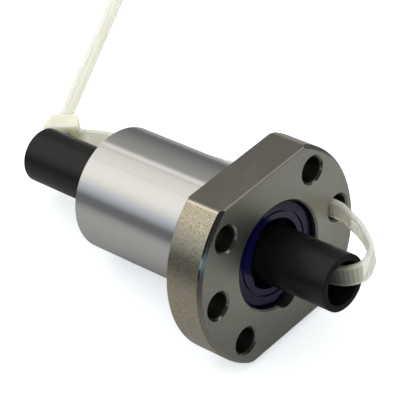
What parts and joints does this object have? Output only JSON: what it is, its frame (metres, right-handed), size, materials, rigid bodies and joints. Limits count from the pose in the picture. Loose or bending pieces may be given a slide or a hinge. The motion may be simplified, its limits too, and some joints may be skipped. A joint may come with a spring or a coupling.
{
  "type": "ball screw nut",
  "caption": "Flanged ball screw nut with wipers, end deflectors and a ball train, held on its transport arbor by a nylon cable tie.",
  "frame": {"origin": "on the screw axis, at the flange's rear face, which seats against the housing", "axes": "+X along the screw axis and out of the flange's front, +Y towards the bolt hole that holds the cable tie, +Z square to the flange's two flats"},
  "size_m": [0.1477, 0.1212, 0.04],
  "materials": {
    "ground_steel": "ground and polished bearing steel, bright on the body and rim, satin on the front face",
    "ball_steel": "mirror polished chrome steel",
    "wiper_plastic": "satin dark blue acetal",
    "deflector_plastic": "satin black acetal",
    "arbor_plastic": "satin black tube with fine draw marks along it",
    "tie_nylon": "natural nylon, slightly cloudy, satin"
  },
  "bodies": {
    "nut": {"nut_body": "ground_steel", "front_wiper": "wiper_plastic", "rear_wiper": "wiper_plastic", "front_deflector": "deflector_plastic", "rear_deflector": "deflector_plastic", "balls_turn_1": "ball_steel", "balls_turn_2": "ball_steel", "balls_turn_3": "ball_steel", "balls_front_bend": "ball_steel", "balls_return": "ball_steel", "balls_rear_bend": "ball_steel"},
    "tie": {"tie_head": "tie_nylon", "tie_outer_run": "tie_nylon", "tie_front_loop": "tie_nylon", "tie_inner_run": "tie_nylon", "tie_rear_loop": "tie_nylon", "tie_tail": "tie_nylon"},
    "arbor": {"arbor_tube": "arbor_plastic"},
    "pawl": {"tie_pawl": "tie_nylon"}
  },
  "joints": [
    {"name": "tie_slide", "type": "slide", "parent": "nut", "child": "tie", "axis": [1, 0, 0], "range_m": [-0.003, 0]},
    {"name": "arbor_spin", "type": "hinge", "parent": "tie", "child": "arbor", "pos_m": [0, 0, 0], "axis": [1, 0, 0], "continuous": true},
    {"name": "pawl_flex", "type": "hinge", "parent": "tie", "child": "pawl", "pos_m": [-0.06071, 0.00811, 0], "axis": [0, 0, -1], "range_deg": [0, 8], "stiffness_Nm_per_rad": 0.02}
  ]
}
